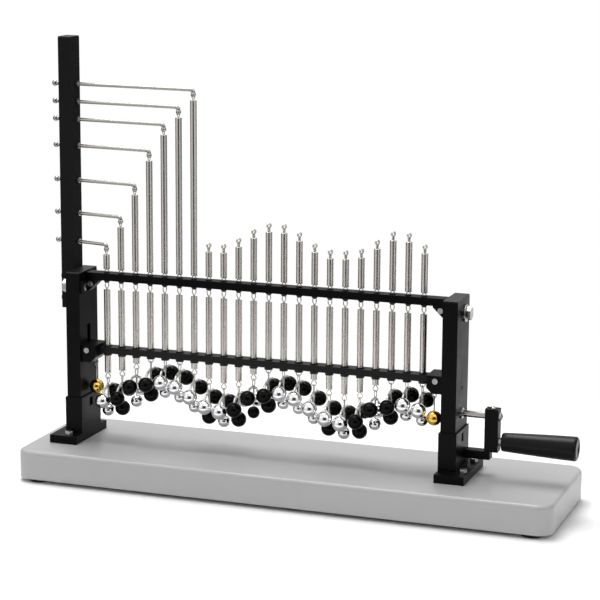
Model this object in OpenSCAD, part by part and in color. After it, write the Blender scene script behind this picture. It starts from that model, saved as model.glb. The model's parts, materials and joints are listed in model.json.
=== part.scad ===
// Spring wave demonstrator. Millimetres, +Z up, origin under the middle of the whole outline.
// Rows of springs hang between two bars, a bob of three balls hangs on each lower spring.

/* [Base] */
// length of the slab
base_length = 588; // [560:2:640]
// depth of the slab
base_depth = 158; // [130:2:180]
// thickness of the slab
base_thick = 31; // [26:0.2:36]
// height of the rubber feet
foot_height = 4.2; // [2.6:0.2:5]

/* [Frame] */
// clear width between the posts
post_gap = 405.6; // [402:0.2:412]
// post width along the row
post_w = 16; // [15:0.5:18]
// post depth
post_d = 45; // [42:1:50]
// post height above the slab
post_rise = 185.4; // [182:0.2:190]
// mast top above the slab
mast_rise = 438; // [432:1:460]

/* [Row] */
// spacing of the stations
pitch = 17; // [16.8:0.1:17.3]
// underside of the upper bar above the slab
upper_rise = 177.6; // [176:0.2:179]
// underside of the lower bar above the slab
lower_rise = 97.2; // [96:0.2:98]
// outer radius of the springs
spring_r = 3.3; // [3:0.1:3.4]
// height of the frozen wave, half of it
wave_amp = 13; // [8:0.5:13]
// ball radius
ball_r = 8.3; // [7:0.1:8.3]

/* [Crank] */
// distance from the shaft to the spindle
crank_throw = 26.5; // [24:0.5:27]
// largest radius of the grip
grip_r = 12.7; // [11:0.1:13]
// how far the grip stands out past the slab
grip_overhang = 8.4; // [6:0.2:12]

/* [Hidden] */
$fn = 48;
fit = 0.05;
wall = 2;
base_top = foot_height + base_thick;
base_mid = -grip_overhang / 2;
// how far the middle between the posts lies left of the slab's middle
post_shift = 39;
post_mid = base_mid - post_shift;
left_in = post_mid - post_gap / 2;
right_in = post_mid + post_gap / 2;
left_out = left_in - post_w;
right_out = right_in + post_w;
corner_r = 16;
edge_r = 4.5;
shell = 6;
// feet: distance in from the slab's ends and sides, radius, and the solid corner that each one screws into
foot_in = [22, 15];
foot_r = 11;
foot_x = base_length / 2 - foot_in[0];
foot_y = base_depth / 2 - foot_in[1];
boss_rim = 4;
corner_boss = [for (side = foot_in) side + foot_r + boss_rim];
flange_t = 9;
flange_top = base_top + flange_t;
sleeve_t = 1.7;
sleeve_top = base_top + 49;
// half widths of a post's slots: near the foot, and higher up in its inner wall
low_slot = 3.5;
high_slot = 4;
flange_l = 32;
flange_d = 78;
// bolts of a flange from the post's inner face: in front of and behind the left post, outside the right post
left_bolts = [for (s = [-1, 1]) [post_w / 2 + 3, s * (post_d / 2 + 8.5)]];
right_bolts = [for (s = [-1, 1]) [post_w + sleeve_t + 7, s * 22]];
post_top = base_top + post_rise;
// room kept between a post and the first or last station
left_room = 22.4;
right_room = 26.2;
// the row holds no more stations than this
most_stations = 22;
stations = min(most_stations, floor((post_gap - left_room - right_room) / pitch + 0.01) + 1);
row_mid = post_mid + (left_room - right_room) / 2;
bar_d = 14;
upper_z = base_top + upper_rise;
upper_top = upper_z + 8;
lower_z = base_top + lower_rise;
lower_top = lower_z + 7;
block_l = 16.8;
block_front = -20;
gusset_screw = 6.5;
block_back = 9;
bush_r = 3.4;
guide_r = 4.5;
guide_bore = 3.75;
wire_r = 0.45;
// ring under a lower spring and its link: radius, wire, and the ring's middle below the spring's end
ring_r = 2.7;
ring_wire = 0.6;
ring_gap = 3.9;
link_ring = 2.4;
link_wire = 0.5;
link_low = 3.7;
nub_z = upper_z - 0.4;
loop_z = upper_z - 2;
spring_top = loop_z - 8.6;
wave_mean = lower_z - 14;
crest = 5;
eye_mean = 49.8;
eye_amp = 13.8;
eye_crest = 12.5;
// upper springs: gap over the bar, eye ring, eye wire, and the eye's middle over the spring's end
stand_gap = 3.4;
eye_r = 2;
eye_wire = 0.95;
eye_neck = 7;
mast_w = 15.5;
mast_d = 20.5;
mast_y = 10;
mast_foot = 143;
mast_low = base_top + mast_foot;
mast_top = base_top + mast_rise - 1.8;
mast_bolts_z = [mast_low + 10, mast_low + 34];
rod_r = 1.5;
rods = 7;
// radius of the bend at the rod's end, how much the bent stretch swells, how deep the straights reach into it
bend = 3;
bend_swell = 0.05;
bend_lap = 0.3;
// hole of the rod's tip below its axis, the shank left under the hole, the radius of the eye around it
tip_low = 5;
tip_end = 1.6;
tip_eye = 2.3;
// height of each rod over the slab, from the shortest rod to the longest
rod_rise = [216, 247, 283, 320.5, 349, 368, 387];
knob_r = 3.3;
knob_gap = 5.4;
neck_r = 2.2;
bar_bolt_z = upper_z - 7.4;
bar_bolt_y = [-12, 6];
shaft_rise = 66;
shaft_z = base_top + shaft_rise;
shaft_r = 3;
arm_x = right_out + 26.2;
arm_w = 14.2;
rest_end = 3;
arm_tail = 10.6;
arm_low = shaft_z - crank_throw - arm_tail;
arm_top = shaft_z + 8;
grip_z = shaft_z - crank_throw;
grip_x = arm_x + arm_w + 3.6;
grip_end = base_length / 2 - base_mid;
spindle_r = 2.5;
throw_e = 3;
eccentric_r = 8;
link_in = eccentric_r + 2 * throw_e + 0.6;
link_out = link_in + 2.4;
post_x = (right_in + right_out) / 2;
// end balls: radius, place from the post's inner face, height over the slab
end_ball_r = 7.9;
left_ball = [8.6, 0, 57.8];
right_ball = [-9.6, -13, 61.4];
gold_l = [left_in, 0, base_top] + left_ball;
gold_r = [right_in, 0, base_top] + right_ball;
hook_z = lower_z - 12;
// yoke of a bob: arm and stem radius, its fork, side balls and lowest ball below the spring's ring
yoke_r = 1.4;
stem_r = 1;
fork = 9.8;
pair_low = 22.5;
side_ball = 16;
low_ball = 38;
arm_end = 6.5;
small_ball_r = 6.6;

function station_x(i) = row_mid + (i - (stations + 1) / 2) * pitch;
function ring_z(i) = wave_mean + wave_amp * cos(360 * (i - crest) / 8);
function eye_z(i) = upper_top + eye_mean + eye_amp * cos(360 * (i - eye_crest) / 8);
function rod_z(i) = base_top + rod_rise[i - 1];
// the yokes hang with the front ball low, and tip the other way at one station of each wave
function bob_tilt(i) = i % 8 == 3 ? -14 : 7;
// three stations of each wave carry a full lowest ball, the others a small one
function low_ball_r(i) = i % 8 == 0 || i % 8 == 2 || i % 8 == 4 ? ball_r : small_ball_r;
function rod_turn(i) = atan2(-mast_y, station_x(i) - (left_out - mast_w / 2));
function two(i) = str(i < 10 ? "0" : "", i);

// a cylinder between two points on the X axis
module rod_along_x(x0, x1, r) {
    translate([x0, 0, 0]) rotate([0, 90, 0]) cylinder(h = x1 - x0, r = r);
}

// a ring of wire standing in the XZ plane
module wire_ring(r, wire) {
    rotate([90, 0, 0]) rotate_extrude() translate([r, 0]) circle(r = wire, $fn = 24);
}

// a straight wire from p to q
module wire(p, q, r) {
    d = q - p;
    translate(p) rotate([0, acos(d[2] / norm(d)), atan2(d[1], d[0])]) cylinder(h = norm(d), r = r, $fn = 24);
}

// a box given by its two corners
module box(a, b) {
    translate(a) cube(b - a);
}

// a rectangular tube with its own wall
module tube(x0, y0, w, d, z0, z1, t) {
    difference() {
        box([x0, y0 - d / 2, z0], [x0 + w, y0 + d / 2, z1]);
        box([x0 + t, y0 - d / 2 + t, z0 - 1], [x0 + w - t, y0 + d / 2 - t, z1 + 1]);
    }
}

// slab outline from the side, its two top corners rounded
module slab_side(w) {
    translate([-w / 2, 0]) square([w, base_thick - edge_r]);
    translate([-w / 2 + edge_r, 0]) square([w - 2 * edge_r, base_thick]);
    for (s = [-1, 1]) translate([s * (w / 2 - edge_r), base_thick - edge_r]) circle(r = edge_r);
}

module slab() {
    rotate([90, 0, 0]) linear_extrude(base_depth - 2 * corner_r, center = true) slab_side(base_length);
    rotate([90, 0, 90]) linear_extrude(base_length - 2 * corner_r, center = true) slab_side(base_depth);
    for (sx = [-1, 1], sy = [-1, 1])
        translate([sx * (base_length / 2 - corner_r), sy * (base_depth / 2 - corner_r), 0])
            rotate_extrude() intersection() {
                slab_side(2 * corner_r);
                square([corner_r, base_thick]);
            }
}

module base_plate() {
    color([0.74, 0.74, 0.75]) difference() {
        translate([base_mid, 0, foot_height]) slab();
        for (s = [[shell, corner_boss[1]], [corner_boss[0], shell]])
            box([base_mid - base_length / 2 + s[0], -base_depth / 2 + s[1], foot_height - 1],
                [base_mid + base_length / 2 - s[0], base_depth / 2 - s[1], base_top - shell]);
        at_feet() cylinder(h = foot_height + 9, r = 1.7);
        at_flange_bolts() translate([0, 0, base_top - 10]) cylinder(h = 20, r = 2.7);
    }
}

module at_feet() {
    for (sx = [-1, 1], sy = [-1, 1]) translate([base_mid + sx * foot_x, sy * foot_y, 0]) children();
}

module at_flange_bolts() {
    for (b = right_bolts) translate([right_in + b[0], b[1], 0]) children();
    for (b = left_bolts) translate([left_in - b[0], b[1], 0]) children();
}

module rubber_feet() {
    color([0.05, 0.05, 0.05]) at_feet() difference() {
        cylinder(h = foot_height, r = foot_r);
        translate([0, 0, -1]) cylinder(h = 2.6, r = 4.2);
        cylinder(h = foot_height + 1, r = 1.8);
    }
}

module foot_screws() {
    color([0.7, 0.7, 0.7]) at_feet() {
        translate([0, 0, 0.3]) cylinder(h = 1.3, r = 3.6);
        translate([0, 0, 1.5]) cylinder(h = foot_height + 6, r = 1.6);
    }
}

// flange and sleeve with the post's inner face at x = 0 and the outside along +X
module foot_bracket(bolts) {
    difference() {
        union() {
            box([-sleeve_t, -flange_d / 2, base_top], [flange_l - sleeve_t, flange_d / 2, flange_top]);
            box([-sleeve_t, -post_d / 2 - sleeve_t, flange_top - 1],
                [post_w + sleeve_t, post_d / 2 + sleeve_t, sleeve_top]);
        }
        box([-fit, -post_d / 2 - fit, flange_top], [post_w + fit, post_d / 2 + fit, sleeve_top + 1]);
        for (b = bolts) translate([b[0], b[1], base_top - 1]) cylinder(h = 20, r = 2.7);
        lower_slot();
    }
}

// upright slot through both walls near the foot
module lower_slot() {
    box([-9, -low_slot, base_top + 36], [post_w + 9, low_slot, base_top + 45]);
}

module left_foot_bracket() {
    color([0.06, 0.06, 0.06]) translate([left_in, 0, 0]) mirror([1, 0, 0]) foot_bracket(left_bolts);
}

module right_foot_bracket() {
    color([0.06, 0.06, 0.06]) translate([right_in, 0, 0]) foot_bracket(right_bolts);
}

module flange_bolts() {
    color([0.72, 0.72, 0.74]) at_flange_bolts() {
        translate([0, 0, flange_top]) cylinder(h = 4, r = 4.4, $fn = 6);
        translate([0, 0, base_top - 12]) cylinder(h = flange_t + 12.5, r = 2.5);
        translate([0, 0, base_top - shell - 4.1]) cylinder(h = 4, r = 4.4, $fn = 6);
    }
}

// one post with its inner face at x = 0
module post_tube() {
    difference() {
        tube(0, 0, post_w, post_d, flange_top, post_top, wall);
        lower_slot();
        box([-1, -high_slot, base_top + 107], [wall + 1, high_slot, base_top + 127]);
        translate([0, 0, base_top + 93]) rod_along_x(post_w - wall - 1, post_w + 1, 2);
    }
}

module left_post() {
    color([0.06, 0.06, 0.06]) difference() {
        translate([left_in, 0, 0]) mirror([1, 0, 0]) post_tube();
        translate([0, bar_bolt_y[0], bar_bolt_z]) rod_along_x(left_out - 1, left_in + 1, 4.2);
        for (z = mast_bolts_z) translate([0, mast_y, z]) rod_along_x(left_out - 1, left_out + wall + 1, 2.7);
    }
}

module right_post() {
    color([0.06, 0.06, 0.06]) difference() {
        translate([right_in, 0, 0]) post_tube();
        translate([0, bar_bolt_y[1], bar_bolt_z]) rod_along_x(right_in - 1, right_out + 1, 4.2);
        translate([0, 0, shaft_z]) rod_along_x(right_in - 1, right_out + 1, 4.6 + fit);
    }
}

module cap(x0, y0, w, d, z, t) {
    box([x0, y0 - d / 2, z], [x0 + w, y0 + d / 2, z + 1.8]);
    box([x0 + t + 0.1, y0 - d / 2 + t + 0.1, z - 2.2], [x0 + w - t - 0.1, y0 + d / 2 - t - 0.1, z + 0.5]);
}

module tube_caps() {
    color([0.05, 0.05, 0.05]) {
        cap(left_out, 0, post_w, post_d, post_top, wall);
        cap(right_in, 0, post_w, post_d, post_top, wall);
        cap(left_out - mast_w, mast_y, mast_w, mast_d, mast_top, 1.6);
    }
}

// places the children with +X along rod i and the mast's middle at x = 0
module at_rod(i) {
    translate([left_out - mast_w / 2, mast_y, rod_z(i)]) rotate([0, 0, rod_turn(i)]) children();
}

function rod_reach(i) = norm([station_x(i) - (left_out - mast_w / 2), mast_y]);

module mast() {
    color([0.06, 0.06, 0.06]) difference() {
        tube(left_out - mast_w, mast_y, mast_w, mast_d, mast_low, mast_top, 1.6);
        for (i = [1:rods]) at_rod(i) rod_along_x(-15, 15, rod_r + 0.15);
        for (z = mast_bolts_z)
            translate([0, mast_y, z]) rod_along_x(left_out - mast_w - 1, left_out + 1, 2.7);
    }
}

module mast_bolts() {
    color([0.1, 0.1, 0.1]) for (z = mast_bolts_z) translate([0, mast_y, z]) {
        rod_along_x(left_out - mast_w - 3.5, left_out - mast_w, 4.2);
        rod_along_x(left_out - mast_w - 1, left_out + wall + 5.5, 2.5);
        rod_along_x(left_out + wall, left_out + wall + 4, 4.2);
    }
}

module mast_rods() {
    color([0.75, 0.76, 0.78]) for (i = [1:rods]) difference() {
        union() {
            at_rod(i) {
                rod_along_x(-mast_w / 2 - 5, rod_reach(i) - bend + bend_lap, rod_r);
                translate([rod_reach(i) - bend, 0, -bend]) rotate([90, 0, 0])
                    rotate_extrude(angle = 90) translate([bend, 0]) circle(r = rod_r + bend_swell);
            }
            translate([station_x(i), 0, rod_z(i) - tip_low - tip_end])
                cylinder(h = tip_low + tip_end + bend_lap - bend, r = rod_r);
            translate([station_x(i), 0, rod_z(i) - tip_low]) sphere(r = tip_eye);
        }
        translate([station_x(i), 0, rod_z(i) - tip_low]) rod_along_x(-4, 4, 0.8);
    }
}

module rod_knobs() {
    color([0.8, 0.81, 0.83]) for (i = [1:rods]) at_rod(i)
        translate([-mast_w / 2 - knob_gap, 0, 0]) rotate([0, 90, 0]) rotate_extrude() knob_side();
}

// half outline of a knob around its axis: a ball and a neck with a blind bore
module knob_side() {
    difference() {
        union() {
            intersection() {
                circle(r = knob_r);
                translate([0, -knob_r]) square([knob_r, 2 * knob_r]);
            }
            square([neck_r, knob_gap - 1]);
        }
        translate([-1, 0.1]) square([1 + rod_r + 2 * fit, knob_gap]);
    }
}

module rod_collars() {
    color([0.7, 0.71, 0.73]) for (i = [1:rods]) at_rod(i) difference() {
        rod_along_x(mast_w / 2 + 1.2, mast_w / 2 + 4, 3.1);
        rod_along_x(0, 20, rod_r + fit);
    }
}

module at_stations(first, last) {
    for (i = [first:last]) translate([station_x(i), 0, 0]) children();
}

module upper_bar() {
    color([0.06, 0.06, 0.06]) difference() {
        box([left_in, -bar_d / 2, upper_z], [right_in, bar_d / 2, upper_top]);
        at_stations(1, stations) translate([0, 0, upper_z - 1]) cylinder(h = 10, r = bush_r + fit);
    }
}

module lower_bar() {
    color([0.06, 0.06, 0.06]) difference() {
        box([left_in + block_l, -bar_d / 2, lower_z], [right_in - block_l, bar_d / 2, lower_top]);
        at_stations(1, stations) translate([0, 0, lower_z - 1]) cylinder(h = 10, r = guide_r + fit);
    }
}

// wedge under the upper bar with the post's face at x = 0, and its plate over the bolt
module gusset(y_bolt) {
    difference() {
        union() {
            rotate([90, 0, 0]) linear_extrude(bar_d, center = true)
                polygon([[0, upper_z], [15, upper_z], [15, upper_z - 1.5], [3, upper_z - 13],
                    [0, upper_z - 13]]);
            box([0, min(-bar_d / 2, y_bolt - 9), upper_z - 13], [3, max(bar_d / 2, y_bolt + 9), upper_z]);
        }
        translate([0, y_bolt, bar_bolt_z]) rod_along_x(-1, 12, 4.2);
        translate([gusset_screw, -bar_d / 2 - 1, upper_z - 4.4]) rotate([-90, 0, 0]) cylinder(h = 5, r = 1.6);
    }
}

module upper_gussets() {
    color([0.06, 0.06, 0.06]) {
        translate([left_in, 0, 0]) gusset(bar_bolt_y[0]);
        translate([right_in, 0, 0]) mirror([1, 0, 0]) gusset(bar_bolt_y[1]);
    }
}

module block() {
    difference() {
        translate([0, block_back, 0]) rotate([90, 0, 0]) linear_extrude(block_back - block_front)
            polygon([[0, lower_z - 8.5], [block_l - 6, lower_z - 8.5], [block_l, lower_z - 2.5],
                [block_l, lower_z + 10.5], [0, lower_z + 10.5]]);
        translate([7, block_front - 1, lower_z + 5]) rotate([-90, 0, 0]) cylinder(h = 9, r = 1.6);
    }
}

module lower_blocks() {
    color([0.06, 0.06, 0.06]) {
        translate([left_in, 0, 0]) block();
        translate([right_in, 0, 0]) mirror([1, 0, 0]) block();
    }
}

// pan head screw facing -Y with its seat at y = 0
module pan_screw(depth) {
    rotate([-90, 0, 0]) translate([0, 0, -2]) cylinder(h = 2, r = 3);
    rotate([-90, 0, 0]) translate([0, 0, -1]) cylinder(h = depth, r = 1.5);
}

module trim_screws() {
    color([0.72, 0.72, 0.74]) for (s = [[left_in, 1], [right_in, -1]]) {
        translate([s[0] + s[1] * gusset_screw, -bar_d / 2, upper_z - 4.4]) pan_screw(4.5);
        translate([s[0] + s[1] * 7, block_front, lower_z + 5]) pan_screw(8.5);
    }
}

module bar_bolts() {
    color([0.72, 0.72, 0.74]) {
        translate([0, bar_bolt_y[1], bar_bolt_z]) {
            rod_along_x(right_in - 2.8, right_out + 3, 4);
            translate([right_out + 2, 0, 0]) rotate([0, 90, 0]) cylinder(h = 5, r = 7.2, $fn = 6);
        }
        translate([0, bar_bolt_y[0], bar_bolt_z]) {
            rod_along_x(left_out - 3, left_in + 2.8, 4);
            translate([left_out - 7, 0, 0]) rotate([0, 90, 0]) cylinder(h = 5, r = 7.2, $fn = 6);
        }
    }
}

module washer_x(r) {
    difference() {
        rod_along_x(0, 2, r);
        rod_along_x(-1, 3, 4.2);
    }
}

module bar_washers() {
    color([0.72, 0.72, 0.74]) {
        translate([right_out, bar_bolt_y[1], bar_bolt_z]) washer_x(9.2);
        translate([left_out - 2, bar_bolt_y[0], bar_bolt_z]) washer_x(9.2);
    }
}

module upper_bushes() {
    color([0.04, 0.04, 0.04]) at_stations(1, stations) difference() {
        union() {
            translate([0, 0, nub_z]) cylinder(h = upper_top - nub_z + 0.8, r = bush_r);
            translate([0, 0, nub_z]) sphere(r = bush_r);
        }
        translate([0, 0, upper_top - 5]) cylinder(h = 7, r = 1.3);
        translate([0, 0, loop_z]) rod_along_x(-6, 6, 0.75);
    }
}

module lower_bushes() {
    color([0.04, 0.04, 0.04]) at_stations(1, stations) difference() {
        translate([0, 0, lower_z - 3.2]) cylinder(h = 7 + 4.2, r = guide_r);
        translate([0, 0, lower_z - 4]) cylinder(h = 14, r = guide_bore);
    }
}

// close wound spring body, drawn as a tube
module coil_body(z0, z1) {
    translate([0, 0, z0]) difference() {
        cylinder(h = z1 - z0, r = spring_r);
        translate([0, 0, 1]) cylinder(h = z1 - z0 - 2, r = spring_r - 0.9);
    }
}

// end loop: a crossbar of half width w at height z and two legs down to the spring's top
module v_loop(z, z_spring, w) {
    translate([0, 0, z]) rod_along_x(-w, w, wire_r);
    for (s = [-1, 1]) {
        wire([s * w, 0, z], [s * 0.8, 0, z_spring - 0.5], wire_r);
        translate([s * w, 0, z]) sphere(r = wire_r, $fn = 24);
    }
}

// pin under an upper spring, seated in its bush
module spring_pin() {
    translate([0, 0, upper_top - 4]) cylinder(h = 4 + stand_gap + 0.6, r = 1.1);
}

module hung_springs() {
    color([0.62, 0.6, 0.57]) for (i = [1:rods]) translate([station_x(i), 0, 0]) {
        coil_body(upper_top + stand_gap, rod_z(i) - tip_low - 9);
        spring_pin();
        v_loop(rod_z(i) - tip_low, rod_z(i) - tip_low - 9, 2.6);
    }
}

module standing_springs() {
    color([0.62, 0.6, 0.57]) for (i = [rods + 1:stations]) translate([station_x(i), 0, 0]) {
        coil_body(upper_top + stand_gap, eye_z(i) - eye_neck);
        spring_pin();
        translate([0, 0, eye_z(i) - eye_neck - 0.5]) cylinder(h = eye_neck - eye_r + 0.5, r = 0.8);
        translate([0, 0, eye_z(i)]) wire_ring(eye_r, eye_wire);
    }
}

module lower_springs() {
    color([0.62, 0.6, 0.57]) for (i = [1:stations]) translate([station_x(i), 0, 0]) {
        coil_body(ring_z(i) + ring_gap, spring_top);
        translate([0, 0, ring_z(i) + ring_r]) cylinder(h = ring_gap - ring_r + 0.5, r = 0.8);
        v_loop(loop_z, spring_top, 3.7);
        translate([0, 0, ring_z(i)]) wire_ring(ring_r, ring_wire);
    }
}

module crank_rest() {
    color([0.06, 0.06, 0.06])
        box([right_out + sleeve_t, 6, arm_low - 12.2], [arm_x + rest_end, 18, arm_low - 3.2]);
}

module shaft_bushes() {
    color([0.62, 0.63, 0.64]) translate([0, 0, shaft_z]) for (s = [[right_in, 1], [right_out, -1]])
        difference() {
            translate([s[0], 0, 0]) union() {
                rod_along_x(min(0, s[1] * 3), max(0, s[1] * 3), 4.6);
                rod_along_x(min(0, -s[1] * 1.6), max(0, -s[1] * 1.6), 5.6);
            }
            rod_along_x(right_in - 5, right_out + 5, shaft_r + fit);
        }
}

module marker_hooks() {
    color([0.75, 0.75, 0.76]) for (g = [gold_l, gold_r]) translate([g[0], g[1], 0]) {
        translate([0, 0, hook_z]) wire_ring(2, 0.55);
        translate([0, 0, hook_z + 2]) cylinder(h = lower_z - 8.5 - hook_z - 2, r = 0.9);
    }
}

module crank_shaft() {
    color([0.78, 0.79, 0.8]) translate([0, 0, shaft_z])
        rod_along_x(right_in - 2.5, arm_x + arm_w - 2, shaft_r);
}

module crank_arm() {
    color([0.06, 0.06, 0.06]) difference() {
        box([arm_x, -6, arm_low], [arm_x + arm_w, 6, arm_top]);
        translate([0, 0, shaft_z]) rod_along_x(arm_x - 1, arm_x + arm_w + 1, shaft_r + fit);
        translate([0, 0, grip_z]) rod_along_x(arm_x + 1, arm_x + arm_w + 1, spindle_r + fit);
        translate([arm_x + arm_w / 2, 0, shaft_z]) cylinder(h = 20, r = 1.8);
    }
}

// dome screw along +Z, its seat at z = 0
module dome_screw(r, depth, shank) {
    intersection() {
        translate([0, 0, -0.4 * r]) sphere(r = 1.15 * r);
        cylinder(h = r, r = r);
    }
    translate([0, 0, -depth]) cylinder(h = depth + 0.5, r = shank);
}

module arm_screws() {
    color([0.78, 0.79, 0.8]) {
        translate([arm_x + arm_w / 2, 0, arm_top]) dome_screw(3.4, arm_top - shaft_z - shaft_r, 1.7);
        translate([arm_x + arm_w, 0, shaft_z]) rotate([0, 90, 0]) dome_screw(4.6, 1.9, 2.6);
    }
}

module grip_spindle() {
    color([0.78, 0.79, 0.8]) translate([0, 0, grip_z]) {
        rod_along_x(arm_x + 1.2, grip_end - 28, spindle_r);
        rod_along_x(arm_x + arm_w, grip_x - 0.3, 4.2);
    }
}

module eccentric() {
    color([0.55, 0.55, 0.56]) translate([0, 0, shaft_z]) difference() {
        translate([0, 0, throw_e]) rod_along_x(post_x - 2.4, post_x + 2.4, eccentric_r);
        rod_along_x(post_x - 5, post_x + 5, shaft_r + fit);
    }
}

module grip() {
    long = grip_end - grip_x;
    color([0.05, 0.05, 0.05]) translate([grip_x, 0, grip_z]) rotate([0, 90, 0]) difference() {
        rotate_extrude() polygon([[0, 0], [grip_r - 4.3, 0], [grip_r - 3, 1.3], [grip_r - 1.5, long * 0.45],
            [grip_r - 0.4, long * 0.8], [grip_r, long - 5], [grip_r - 0.5, long - 2.2], [grip_r - 2.4, long],
            [0, long]]);
        translate([0, 0, -1]) cylinder(h = long - 25, r = spindle_r + fit);
        translate([0, 0, long - 3]) cylinder(h = 5, r = 1.5);
    }
}

// hangs on the bolt of the upper bar, its ring loose around the eccentric
module exciter_link() {
    z_eye = bar_bolt_z;
    y_eye = bar_bolt_y[1];
    z_ring = shaft_z - throw_e;
    color([0.4, 0.4, 0.41]) difference() {
        union() {
            translate([0, 0, z_ring]) rod_along_x(post_x - 2, post_x + 2, link_out);
            wire_bar([0, z_ring + link_in + 1], [y_eye, z_eye - 12]);
            box([post_x - 2, y_eye - 7, z_eye - 13], [post_x + 2, y_eye + 7, z_eye + 6]);
        }
        translate([0, 0, z_ring]) rod_along_x(post_x - 4, post_x + 4, link_in);
        box([post_x - 4, y_eye - 4.6, z_eye - 10.6], [post_x + 4, y_eye + 4.6, z_eye + 4.3]);
    }
}

// flat bar of the link from one point to another in the YZ plane
module wire_bar(p, q) {
    translate([post_x - 2, 0, 0]) rotate([90, 0, 90]) linear_extrude(4)
        polygon([p - [3, 0], p + [3, 0], q + [3, 0], q - [3, 0]]);
}

// gold end ball with its wire, the top loop hooked into the marker hook
module gold_ball(g) {
    color([0.83, 0.62, 0.25]) translate([g[0], g[1], 0]) {
        translate([0, 0, g[2]]) sphere(r = end_ball_r);
        translate([0, 0, hook_z - 2.6]) rotate([0, 0, 90]) wire_ring(2, 0.55);
        translate([0, 0, g[2]]) cylinder(h = hook_z - 4.6 - g[2], r = 0.8);
    }
}

module gold_left() {
    gold_ball(gold_l);
}

module gold_right() {
    gold_ball(gold_r);
}

// bob i: a link in the spring's ring, a wire yoke and three balls
module bob(i) {
    color([0.8, 0.81, 0.83]) translate([station_x(i), 0, ring_z(i)]) {
        translate([0, 0, -link_low]) rotate([0, 0, 90]) wire_ring(link_ring, link_wire);
        wire([0, 0, -link_low - link_ring], [0, 0, -low_ball], stem_r);
        translate([0, 0, -low_ball]) sphere(r = low_ball_r(i));
        translate([0, 0, -fork]) {
            sphere(r = 1.1 * yoke_r);
            rotate([bob_tilt(i), 0, 0]) for (s = [-1, 1]) {
                wire([0, 0, 0], [0, s * side_ball, fork - pair_low + arm_end], yoke_r);
                translate([0, s * side_ball, fork - pair_low]) sphere(r = ball_r);
            }
        }
    }
}

base_plate();
rubber_feet();
foot_screws();
left_foot_bracket();
right_foot_bracket();
flange_bolts();
left_post();
right_post();
tube_caps();
mast();
mast_bolts();
mast_rods();
rod_knobs();
rod_collars();
upper_bar();
lower_bar();
upper_gussets();
lower_blocks();
trim_screws();
bar_bolts();
bar_washers();
upper_bushes();
lower_bushes();
hung_springs();
standing_springs();
lower_springs();
crank_rest();
shaft_bushes();
marker_hooks();
crank_shaft();
crank_arm();
arm_screws();
grip_spindle();
eccentric();
grip();
exciter_link();
gold_left();
gold_right();
for (i = [1:stations])
    bob(i);
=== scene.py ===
import json
import math

import bmesh
import bpy
import numpy as np
from mathutils import Matrix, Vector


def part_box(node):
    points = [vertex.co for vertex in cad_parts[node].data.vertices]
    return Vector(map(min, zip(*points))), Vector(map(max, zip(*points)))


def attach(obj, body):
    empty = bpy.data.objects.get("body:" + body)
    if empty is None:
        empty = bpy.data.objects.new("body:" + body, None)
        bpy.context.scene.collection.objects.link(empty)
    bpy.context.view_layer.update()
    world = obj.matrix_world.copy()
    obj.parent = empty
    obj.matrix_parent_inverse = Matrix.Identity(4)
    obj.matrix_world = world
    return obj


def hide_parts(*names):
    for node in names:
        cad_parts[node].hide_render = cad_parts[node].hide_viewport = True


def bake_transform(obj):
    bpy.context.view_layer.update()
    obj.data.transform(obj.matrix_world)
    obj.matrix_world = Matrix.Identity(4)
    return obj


# Spring wave demonstrator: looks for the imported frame, in metres, +Z up.
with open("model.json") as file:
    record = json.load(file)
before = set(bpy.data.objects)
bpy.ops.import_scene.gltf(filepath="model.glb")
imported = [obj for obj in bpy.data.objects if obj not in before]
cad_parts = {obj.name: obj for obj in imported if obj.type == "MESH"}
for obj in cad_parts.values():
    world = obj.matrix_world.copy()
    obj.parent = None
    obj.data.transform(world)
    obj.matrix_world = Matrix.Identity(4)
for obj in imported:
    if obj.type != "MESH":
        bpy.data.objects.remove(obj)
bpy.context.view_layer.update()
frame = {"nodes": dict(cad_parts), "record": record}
nodes = frame["nodes"]
scene = bpy.context.scene
mm = 0.001


# Places that the pieces share, read from the frame
stationCount = 22
stationNames = [f"bob_{i:02d}" for i in range(1, stationCount + 1)]
stationX = [(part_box(name)[0].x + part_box(name)[1].x) / 2 for name in stationNames]
ringLift = 0.8 * mm  # from the top of a bob's solid to the middle of the ring that it hangs from
ringZ = [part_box(name)[1].z + ringLift for name in stationNames]
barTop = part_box("upper_bar")[1].z
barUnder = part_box("upper_bar")[0].z
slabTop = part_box("base_plate")[1].z


# Surfaces. A part is points, quads and triangles with numbers of its own.
def ringSurface(rings, closed=False, caps=True):
    # closed rings of points along a path: quads between neighbours, a fan to the middle at each open end
    count, around = rings.shape[:2]
    low = np.arange(count if closed else count - 1)[:, None] * around
    high = (low + around) % (count * around)
    here = np.arange(around)[None, :]
    there = (here + 1) % around
    quads = np.stack([low + here, low + there, high + there, high + here], -1).reshape(-1, 4)
    points = rings.reshape(-1, 3)
    tris = np.zeros((0, 3), int)
    if caps and not closed:
        middles = np.stack([rings[0].mean(0), rings[-1].mean(0)])
        first = np.full(around, count * around)
        last = (count - 1) * around
        startFan = np.stack([first, there[0], here[0]], -1)
        endFan = np.stack([first + 1, last + here[0], last + there[0]], -1)
        tris = np.concatenate([startFan, endFan])
        points = np.concatenate([points, middles])
    return points, quads, tris


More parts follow.
